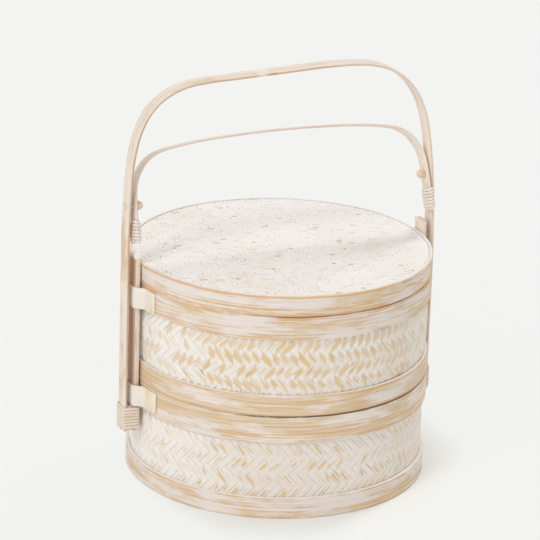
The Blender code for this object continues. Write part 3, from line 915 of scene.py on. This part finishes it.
def sheet_strip(name, width, stations):
    """One flat strip from -1 to 1, to be stretched by the tree."""
    rings, uvs = [], []
    for station in range(stations + 1):
        x = -1 + 2 * station / stations
        rings.append([(x, across * width, (height - 0.5) * sheet_strip_thickness) for across, height in strip_section])
        uvs.append([(across + 0.5, x) for across, _ in strip_section])
    return mesh_from_rings(name, rings, uvs)


def crossed_strips():
    """Straight strips side by side in a circle, in a two and two twill."""
    tree, bench, given = open_tree("crossed_strips", [
        ("Strip", "Object"), ("Strips", "Int"), ("Pitch", "Float"), ("Rim", "Float"), ("Level", "Float"),
        ("Crown", "Float"), ("Lift", "Float"), ("Step", "Float"), ("Turn", "Float"), ("Wander", "Float"),
        ("Seed", "Int"), ("Material", "Material"),
    ])
    strip = bench.add("GeometryNodeObjectInfo", None, {"Object": given["Strip"]}, "Geometry")
    points = bench.add("GeometryNodePoints", None, {"Count": given["Strips"]})
    index = bench.add("GeometryNodeInputIndex")
    order = index - (given["Strips"] - 1) / 2
    shift = bench.vector(y=order * given["Pitch"])
    spread = bench.add("GeometryNodeSetPosition", None, {"Geometry": points, "Position": shift})
    copies = bench.add("GeometryNodeInstanceOnPoints", None, {"Points": spread, "Instance": strip})
    number = bench.add("FunctionNodeRandomValue", {"data_type": "FLOAT"}, {"ID": index, "Seed": given["Seed"]}, 1)
    kept = bench.add("GeometryNodeStoreNamedAttribute", {"data_type": "FLOAT", "domain": "INSTANCE"},
                     {"Geometry": copies, "Name": "strip_number", "Value": number})
    kept = bench.add("GeometryNodeStoreNamedAttribute", {"data_type": "FLOAT", "domain": "INSTANCE"},
                     {"Geometry": kept, "Name": "strip_order", "Value": order})
    solid = bench.add("GeometryNodeRealizeInstances", None, {0: kept})
    x, y, z = bench.split(bench.add("GeometryNodeInputPosition"))
    mine = bench.add("GeometryNodeInputNamedAttribute", {"data_type": "FLOAT"}, {"Name": "strip_order"})
    own = bench.add("GeometryNodeInputNamedAttribute", {"data_type": "FLOAT"}, {"Name": "strip_number"})
    chord = bench.maths("SQRT", bench.maths("MAXIMUM", given["Rim"] * given["Rim"] - y * y, 1e-6))
    along = x * chord
    wave = bench.maths("COSINE", (along / given["Pitch"] + given["Step"] * (mine + 0.5)) * (math.pi / 2)) * 2.4
    wave = bench.maths("MINIMUM", bench.maths("MAXIMUM", wave, -1.0), 1.0)
    bulge = given["Crown"] * (1 - (along * along + y * y) / (given["Rim"] * given["Rim"]))
    rough = bench.noise(bench.vector(along * 60, y * 20, own * 40), detail=1.0) - 0.5
    level = z + given["Level"] + bulge - given["Step"] * given["Lift"] * wave + rough * given["Wander"]
    placed = bench.vector(along, y + rough * given["Wander"] * (1 - bench.maths("ABSOLUTE", x)), level)
    flat_map = bench.add("GeometryNodeInputNamedAttribute", {"data_type": "FLOAT_VECTOR"}, {"Name": "strip_run"})
    run = (along / given["Pitch"] + given["Step"] * (mine - 0.5)) / 2 + 1000
    mapped = bench.add("GeometryNodeStoreNamedAttribute", {"data_type": "FLOAT2", "domain": "CORNER"},
                       {"Geometry": solid, "Name": "strip_run", "Value": bench.vector(bench.split(flat_map)[0], run)})
    moved = bench.add("GeometryNodeSetPosition", None, {"Geometry": mapped, "Position": placed})
    turn = bench.add("FunctionNodeEulerToRotation", None, {0: bench.vector(z=given["Turn"])})
    turned_round = bench.add("GeometryNodeTransform", None, {"Geometry": moved, "Rotation": turn})
    painted = bench.add("GeometryNodeSetMaterial", None, {"Geometry": turned_round, "Material": given["Material"]})
    tree_output(bench, painted)
    return tree


# %% Weave the lid and the floors
crossed_tree = crossed_strips()


def weave_disc(name, node, rim, pitch, level, crown, turn, stations, finish, body):
    """Both sets of strips of a flat woven sheet."""
    count = int(2 * (rim - pitch / 2) / pitch) // 2 * 2 + 1
    for step, word in ((-1, "across"), (1, "along")):
        strip = add_object("strip_copy", sheet_strip(name + "_strip", pitch * 0.995, stations))
        sheet = solidify_tree(f"{name}_{word}", crossed_tree, {
            "Strip": strip,
            "Strips": count,
            "Pitch": pitch,
            "Rim": rim,
            "Level": level,
            "Crown": crown,
            "Lift": sheet_lift,
            "Step": float(step),
            "Turn": turn + (math.pi / 2 if step > 0 else 0.0),
            "Wander": 0.25 * MM,
            "Seed": 31 + step,
            "Material": finishes[finish.replace("*", word)],
        })
        bpy.data.objects.remove(strip, do_unlink=True)
        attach(sheet, body)
        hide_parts(node)


lid_rim, sheet_bottom, sheet_top = span("lid_sheet")
lid_level = sheet_top - lid_crown - sheet_lift - sheet_strip_thickness / 2
lid_turn = math.radians(-9)
weave_disc("lid_weave", "lid_sheet", lid_rim - 0.1 * MM, 4.75 * MM, lid_level, lid_crown, lid_turn, 176,
           "lid_*_wash", "lid")
for tier in tiers:
    rim, bottom, top = span(tier + "_floor")
    weave_disc(tier + "_floor_weave", tier + "_floor", rim - 0.1 * MM, 9.4 * MM, (bottom + top) / 2, 0.0, 0.0, 90,
               "floor_weave", tier_body[tier])

# %% Lining of the lid
backing = 0.9 * MM
shares = np.linspace(0, 1, 9)
under = [(lid_rim * s, sheet_bottom + lid_crown * (1 - s * s)) for s in shares]
profile = under + [(r, z + backing) for r, z in reversed(under)]
finish_piece(turned("lid_lining", profile, closed=False), "inner_bamboo", "lid", "inner_weave", "lid_sheet")

# %% [markdown]
# The slats, belt loops, stiles and spacers already have the right form in the frame. Bare
# solids have knife edges, which no split bamboo has, so each gets a copy whose points
# are merged and whose edges are eased by a bevel.

# %% Ease the edges of the plain pieces


def eased_copy(node, amount):
    """A copy of a CAD node with its points merged and its edges eased."""
    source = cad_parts[node]
    bm = bmesh.new()
    bm.from_mesh(source.data)
    bmesh.ops.remove_doubles(bm, verts=bm.verts, dist=1e-6)
    bmesh.ops.dissolve_limit(bm, angle_limit=math.radians(1), verts=bm.verts, edges=bm.edges)
    bmesh.ops.recalc_face_normals(bm, faces=bm.faces)
    mesh = bpy.data.meshes.new(node + "_eased")
    bm.to_mesh(mesh)
    bm.free()
    piece = add_object(node + "_eased", mesh)
    bevel = piece.modifiers.new("eased", "BEVEL")
    bevel.width = amount
    bevel.segments = 2
    bevel.limit_method = "ANGLE"
    bevel.angle_limit = math.radians(40)
    graph = bpy.context.evaluated_depsgraph_get()
    made = bpy.data.meshes.new_from_object(piece.evaluated_get(graph))
    piece.modifiers.clear()
    piece.data = made
    made.shade_smooth()
    made.set_sharp_from_angle(angle=math.radians(35))
    return piece


for tier in tiers:
    for place in ("front", "middle", "back"):
        node = f"{tier}_slat_{place}"
        finish_piece(eased_copy(node, 0.5 * MM), "slat_bamboo", tier_body[tier], "slat", node)
    for side in ("left", "right"):
        node = f"{tier}_loop_{side}"
        finish_piece(eased_copy(node, 0.35 * MM), "loop_wash", tier_body[tier], "loop", node)
for side in ("left", "right"):
    finish_piece(eased_copy("stile_" + side, 0.2 * MM), "stile_wash", "base_tier", "stile", "stile_" + side)
    finish_piece(eased_copy("spacer_" + side, 0.3 * MM), "slat_bamboo", "base_tier", "slat", "spacer_" + side)

# %% [markdown]
# The carrying arch and the inner arch are straps of split bamboo, bent hot over a form.
# Each is one section carried along a smooth curve, with the outer face a little crowned
# and the edges eased. A raised ring marks each node of the cane that the strap was split
# from. The map runs along the strap, so the fibres follow the bend.

# %% Curves of the two arches
arch_half_span, arch_foot, arch_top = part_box("carrying_arch")[1][0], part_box("carrying_arch")[0][2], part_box("carrying_arch")[1][2]
arch_across_shares = (
    1.0, 1.0, 1.0, 0.992, 0.976, 0.948, 0.916, 0.865, 0.795, 0.710, 0.610, 0.470, 0.250,
    0.0, -0.300, -0.520, -0.660, -0.775, -0.860, -0.918, -0.957, -0.981, -0.993, -0.999, -1.0, -1.0,
)
arch_up_shares = (
    0.0, 0.270, 0.430, 0.545, 0.660, 0.760, 0.828, 0.885, 0.930, 0.962, 0.984, 0.997, 1.0,
    0.996, 0.991, 0.987, 0.977, 0.953, 0.918, 0.872, 0.815, 0.740, 0.650, 0.530, 0.350, 0.0,
)
bail_across_shares = (1.010, 1.005, 1.0, 0.991, 0.968, 0.926, 0.870, 0.788, 0.650, 0.478, 0.223, 0.0)
bail_up_shares = (-1.0, -0.40, 0.0, 0.270, 0.460, 0.630, 0.765, 0.855, 0.915, 0.960, 0.991, 1.0)
bail_rise = 57.8 * MM
bail_drop = 35.0 * MM
bail_lean = math.radians(18)
arch_thickness = 3.3 * MM
bail_thickness = 2.6 * MM
strap_gap = 1.7 * MM
pivot_height = sum(corner[2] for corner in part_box("peg_left")) / 2


def smooth_outline(points, steps):
    """Even points along a smooth curve through the given outline points."""
    points = np.array(points)
    padded = np.vstack([2 * points[0] - points[1], points, 2 * points[-1] - points[-2]])
    dense = []
    for a, b, c, d in zip(padded, padded[1:], padded[2:], padded[3:]):
        for t in np.linspace(0, 1, 24, endpoint=False):
            dense.append((2 * b + (c - a) * t + (2 * a - 5 * b + 4 * c - d) * t**2 + (3 * b - a - 3 * c + d) * t**3) / 2)
    dense = np.array(dense + [points[-1]])
    lengths = np.concatenate([[0], np.cumsum(np.linalg.norm(np.diff(dense, axis=0), axis=1))])
    stops = np.linspace(0, lengths[-1], steps + 1)
    return np.column_stack([np.interp(stops, lengths, dense[:, i]) for i in range(2)])


arch_rise = arch_top - arch_foot
arch_outline = smooth_outline(
    [(a * arch_half_span, arch_foot + u * arch_rise) for a, u in zip(arch_across_shares, arch_up_shares)], 200,
)


def arch_face(side, height):
    """How far out the arch's outer face is at a height, on one side."""
    crown = int(np.argmax(arch_outline[:, 1]))
    leg = arch_outline[: crown + 1] if side > 0 else arch_outline[crown:][::-1]
    return side * float(np.interp(height, leg[:, 1], leg[:, 0]))


bail_half_span = arch_face(1, pivot_height) - arch_thickness - strap_gap
bail_half = smooth_outline(
    [(a * bail_half_span, u * (bail_drop if u < 0 else bail_rise)) for a, u in zip(bail_across_shares, bail_up_shares)], 90,
)
bail_outline = np.vstack([bail_half[:-1], bail_half[::-1] * (-1, 1)])
print("inner arch half span", round(bail_half_span / MM, 2), "mm")

# %% Bend the straps
strap_section = (
    (-0.455, 0.30), (-0.28, 0.09), (0.0, 0.0), (0.28, 0.09), (0.455, 0.30), (0.50, 0.80),
    (0.50, -0.80), (0.455, -0.25), (0.0, 0.0), (-0.455, -0.25), (-0.50, -0.80), (-0.50, 0.80),
)


def strap(name, outline, thickness, nodes):
    """A strap along a plane outline, which is its outer face, with rings at the cane's nodes."""
    along = np.gradient(outline, axis=0)
    along /= np.linalg.norm(along, axis=1)[:, None]
    inward = np.column_stack([-along[:, 1], along[:, 0]])
    lengths = np.concatenate([[0], np.cumsum(np.linalg.norm(np.diff(outline, axis=0), axis=1))])
    rings, uvs = [], []
    for point, normal, length in zip(outline, inward, lengths):
        raised = sum(math.exp(-(((length - at) / (1.6 * MM)) ** 2)) for at in nodes) * 0.45 * MM
        ring, uv = [], []
        for number, (across, depth) in enumerate(strap_section):
            outer_half = number < 6 or number == 11
            inset = depth * MM - raised if outer_half else thickness + depth * MM
            first, second = point + normal * inset
            ring.append((first, across * strap_width, second))
            side_end = number in (6, 10)
            uv.append((across * (1.4 if side_end else 1.0) + 0.5, length))
        rings.append(ring)
        uvs.append(uv)
    print(name, round(lengths[-1] / MM), "mm long")
    return mesh_from_rings(name, rings, uvs)


def drill(piece, at, radius):
    """Cuts the pegs' hole through a strap, along X."""
    mesh = bpy.data.meshes.new("drill")
    bm = bmesh.new()
    turn = Matrix.Translation(at) @ Matrix.Rotation(math.radians(90), 4, "Y")
    bmesh.ops.create_cone(bm, cap_ends=True, segments=32, radius1=radius, radius2=radius, depth=0.4, matrix=turn)
    bm.to_mesh(mesh)
    bm.free()
    cutter = add_object("drill", mesh)
    cut = piece.modifiers.new("peg_hole", "BOOLEAN")
    cut.solver = "EXACT"
    cut.object = cutter
    made = bpy.data.meshes.new_from_object(piece.evaluated_get(bpy.context.evaluated_depsgraph_get()))
    piece.modifiers.clear()
    piece.data = made
    bpy.data.objects.remove(cutter, do_unlink=True)
    made.shade_smooth()
    made.set_sharp_from_angle(angle=math.radians(42))


lean_back = Matrix.Translation((0, 0, pivot_height)) @ Matrix.Rotation(-bail_lean, 4, "X")
peg_hole = 2.5 * MM
arch = add_object("carrying_arch_bent", strap("carrying_arch_bent", arch_outline, arch_thickness, arch_nodes))
drill(arch, (0, 0, pivot_height), peg_hole)
finish_piece(arch, "strap_wash", "base_tier", "strap", "carrying_arch")
bail = add_object("inner_arch_bent", strap("inner_arch_bent", bail_outline, bail_thickness, bail_nodes))
drill(bail, (0, 0, 0), peg_hole)
bail.data.transform(lean_back)
finish_piece(bail, "inner_strap_wash", "inner_arch", "strap", "inner_arch")

# %% [markdown]
# The feet of the arch and the ends of the inner arch are wound with one length of flat
# cane each. A winding is a spiral round a rounded rectangle. Four or five real turns,
# each a hair from the next, catch the light in a way that a block with stripes never
# does.

# %% Wind the cane
cane_thickness = 1.1 * MM
cane_pitch = cane_width + 0.12 * MM
cane_section = (
    (0.0, 0.0), (0.0, 1.0), (0.40, 1.0), (0.72, 0.95), (0.93, 0.78), (1.0, 0.5), (0.93, 0.22), (0.72, 0.05), (0.40, 0.0),
)


def rounded_loop(half_x, half_y, radius):
    """The stops of one turn round a rounded rectangle, each with its outward normal."""
    stops = []
    corners = [(1, -1), (1, 1), (-1, 1), (-1, -1)]
    for number, (side_x, side_y) in enumerate(corners):
        centre = np.array([side_x * (half_x - radius), side_y * (half_y - radius)])
        for step in range(6):
            angle = math.radians(90 * number - 90 + 18 * step)
            normal = np.array([math.cos(angle), math.sin(angle)])
            stops.append((centre + normal * radius, normal))
        after = corners[(number + 1) % 4]
        target = np.array([after[0] * (half_x - radius), after[1] * (half_y - radius)]) + normal * radius
        start = stops[-1][0]
        stops += [(start + (target - start) * step / 6, normal) for step in range(1, 6)]
    return stops


def winding(name, half_x, half_y, bottom, turns, place):
    """One unbroken flat cane wound round a bundle. place puts a point where the bundle is."""
    loop = rounded_loop(half_x + fit, half_y + fit, 1.1 * MM)
    rings, uvs, length = [], [], 0.0
    for stop in range(int(round(turns * len(loop))) + 1):
        point, normal = loop[(8 + stop) % len(loop)]
        before, _ = loop[(7 + stop) % len(loop)]
        length += float(np.linalg.norm(point - before))
        climb = bottom + cane_pitch * stop / len(loop)
        ring, uv = [], []
        for depth, rise in cane_section:
            x, y = point + normal * depth * cane_thickness
            ring.append(place(x, y, climb + rise * cane_width))
            uv.append((rise, length))
        rings.append(ring)
        uvs.append(uv)
    mesh = mesh_from_rings(name, rings, uvs)
    mesh.shade_smooth()
    mesh.set_sharp_from_angle(angle=math.radians(50))
    print(name, round(length / MM), "mm of cane")
    return add_object(name, mesh)


stile_inner_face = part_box("stile_right")[0][0]
lashing_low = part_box("lashing_right")[0][2]
bundle_half = (arch_half_span - stile_inner_face) / 2
bundle_middle = (arch_half_span + stile_inner_face) / 2
foot_run = bail_half[bail_half[:, 1] < 0]
for word, way in (("left", -1), ("right", 1)):
    node = "lashing_" + word
    cane = winding(node + "_wound", bundle_half, strap_width / 2, lashing_low, 7.25,
                   lambda x, y, z: (way * (bundle_middle + x), y, z))
    finish_piece(cane, "cane_wash", "base_tier", "cane", node)

    def on_bail_foot(x, y, z):
        face = np.interp(z, foot_run[:, 1], foot_run[:, 0])
        return tuple(lean_back @ Vector((way * (face - bail_thickness / 2 + x), y, z)))

    node = "bail_wrap_" + word
    cane = winding(node + "_wound", bail_thickness / 2, strap_width / 2, 0.7 * MM - bail_drop, 6.0, on_bail_foot)
    finish_piece(cane, "wrap_wash", "inner_arch", "cane", node)

# %% Turn the pegs
peg_shank, peg_ball, ball_cut, peg_head = 2.2 * MM, 4.4 * MM, 2.7 * MM, 3.0 * MM
flat = bail_half_span - bail_thickness - fit
for word, way in (("left", -1), ("right", 1)):
    outer = arch_face(way, pivot_height) + fit
    first = math.acos(ball_cut / peg_ball)
    profile = [(0, outer + 0.8 * MM), (peg_head - 0.5 * MM, outer + 0.8 * MM), (peg_head, outer + 0.4 * MM), (peg_head, outer)]
    profile += [(peg_shank, outer), (peg_shank, flat)]
    for step in range(15):
        angle = first + (math.pi - first) * step / 14
        profile.append((peg_ball * math.sin(angle), flat - ball_cut + peg_ball * math.cos(angle)))
    peg = turned("peg_turned_" + word, profile, 32, closed=False)
    peg.data.transform(Matrix.Translation((0, 0, pivot_height)) @ Matrix.Rotation(math.radians(90 * way), 4, "Y"))
    finish_piece(peg, "peg_bamboo", "base_tier", "peg", "peg_" + word)
print("pegs turned, pivot at", round(pivot_height / MM, 1), "mm")

# %% [markdown]
# The basket stands on a plain pale floor that runs on past the picture's edge. The world
# gives an even light, and a broad sun from behind draws the soft shadow of the arch on
# the lid and in front of the foot.

# %% Floor, light and camera
floor_mesh = bpy.data.meshes.new("floor")
reach = 30.0
floor_mesh.from_pydata([(-reach, -reach, 0), (reach, -reach, 0), (reach, reach, 0), (-reach, reach, 0)], [], [(0, 1, 2, 3)])
floor = add_object("floor", floor_mesh)
floor.location.z = -0.2 * MM
backdrop = screen(243, 244, 241)
floor_paint = bpy.data.materials.new("pale_floor")
floor_paint.use_nodes = True
bench = Bench(floor_paint.node_tree)
paint = floor_paint.node_tree.nodes["Principled BSDF"]
paint.inputs["Base Color"].default_value = backdrop
paint.inputs["Roughness"].default_value = 0.9
paint.inputs["Specular IOR Level"].default_value = 0.1
glow = bench.add("ShaderNodeEmission", None, {"Color": backdrop, "Strength": 1.0})
seen = bench.add("ShaderNodeLightPath", None, None, "Is Camera Ray")
x, y, _ = object_point(bench)
off_left = (y * 0.42 - x * 0.9).between(0.03, 0.14) * 0.05
away = (bench.maths("SQRT", x * x + y * y) + off_left).between(0.145, 0.205)
lifted = bench.add("ShaderNodeMixShader", None, {0: seen * (0.12 + away * 0.80), 1: Wire(bench, paint.outputs[0]), 2: glow})
surface = floor_paint.node_tree.nodes["Material Output"].inputs["Surface"]
floor_paint.node_tree.links.new(lifted.socket, surface)
floor_mesh.materials.append(floor_paint)

world = bpy.data.worlds.new("studio")
bpy.context.scene.world = world
world.use_nodes = True
bench = Bench(world.node_tree)
path = bench.add("ShaderNodeLightPath").socket.node
direct = bench.maths("MAXIMUM", Wire(bench, path.outputs["Is Camera Ray"]), Wire(bench, path.outputs["Is Glossy Ray"]))
room = bench.add("ShaderNodeBackground", None, {"Color": (1.0, 0.995, 0.99, 1.0), "Strength": 0.58})
wall = bench.add("ShaderNodeBackground", None, {"Color": backdrop, "Strength": 1.0})
both = bench.add("ShaderNodeMixShader", None, {0: direct, 1: room, 2: wall})
world.node_tree.links.new(both.socket, world.node_tree.nodes["World Output"].inputs["Surface"])

suns = (
    ("front_left", (-0.78, -0.44, 1.0), 0.61, 17),
    ("back_right", (0.78, 0.46, 1.0), 0.86, 15),
    ("low_front", (-0.85, -0.70, 0.30), 0.70, 60),
)
for name, source, strength, spread in suns:
    lamp = bpy.data.lights.new(name, "SUN")
    lamp.energy = strength
    lamp.angle = math.radians(spread)
    lamp_object = bpy.data.objects.new(name, lamp)
    bpy.context.collection.objects.link(lamp_object)
    lamp_object.rotation_euler = Vector(source).to_track_quat("Z", "Y").to_euler()
print(len(suns), "soft lamps")

# %% Camera at the photograph's place
azimuth = math.radians(-25)
pitch = math.radians(20.86)
roll = math.radians(1.79)
pan = math.radians(-0.18)
tilt = math.radians(1.34)
distance = 3.0
aim = Vector((0, 0, 0.120))
back = Vector((math.sin(azimuth) * math.cos(pitch), -math.cos(azimuth) * math.cos(pitch), math.sin(pitch)))
right = Vector((math.cos(azimuth), math.sin(azimuth), 0))
up = back.cross(right)
forward = -back * math.cos(pan) * math.cos(tilt) + right * math.sin(pan) * math.cos(tilt) + up * math.sin(tilt)
side = forward.cross(Vector((0, 0, 1))).normalized()
top_way = side.cross(forward)
right_way = side * math.cos(roll) + top_way * math.sin(roll)
up_way = top_way * math.cos(roll) - side * math.sin(roll)
camera_data = bpy.data.cameras.new("camera")
camera_data.lens = 207.6
camera_data.sensor_width = 36.0
camera_data.clip_end = 100.0
camera = bpy.data.objects.new("camera", camera_data)
bpy.context.collection.objects.link(camera)
turn = Matrix((right_way, up_way, -forward)).transposed().to_4x4()
camera.matrix_world = Matrix.Translation(aim + back * distance) @ turn
bpy.context.scene.camera = camera
bpy.context.scene.view_settings.view_transform = "Standard"
print("camera at", [round(v, 3) for v in camera.location])
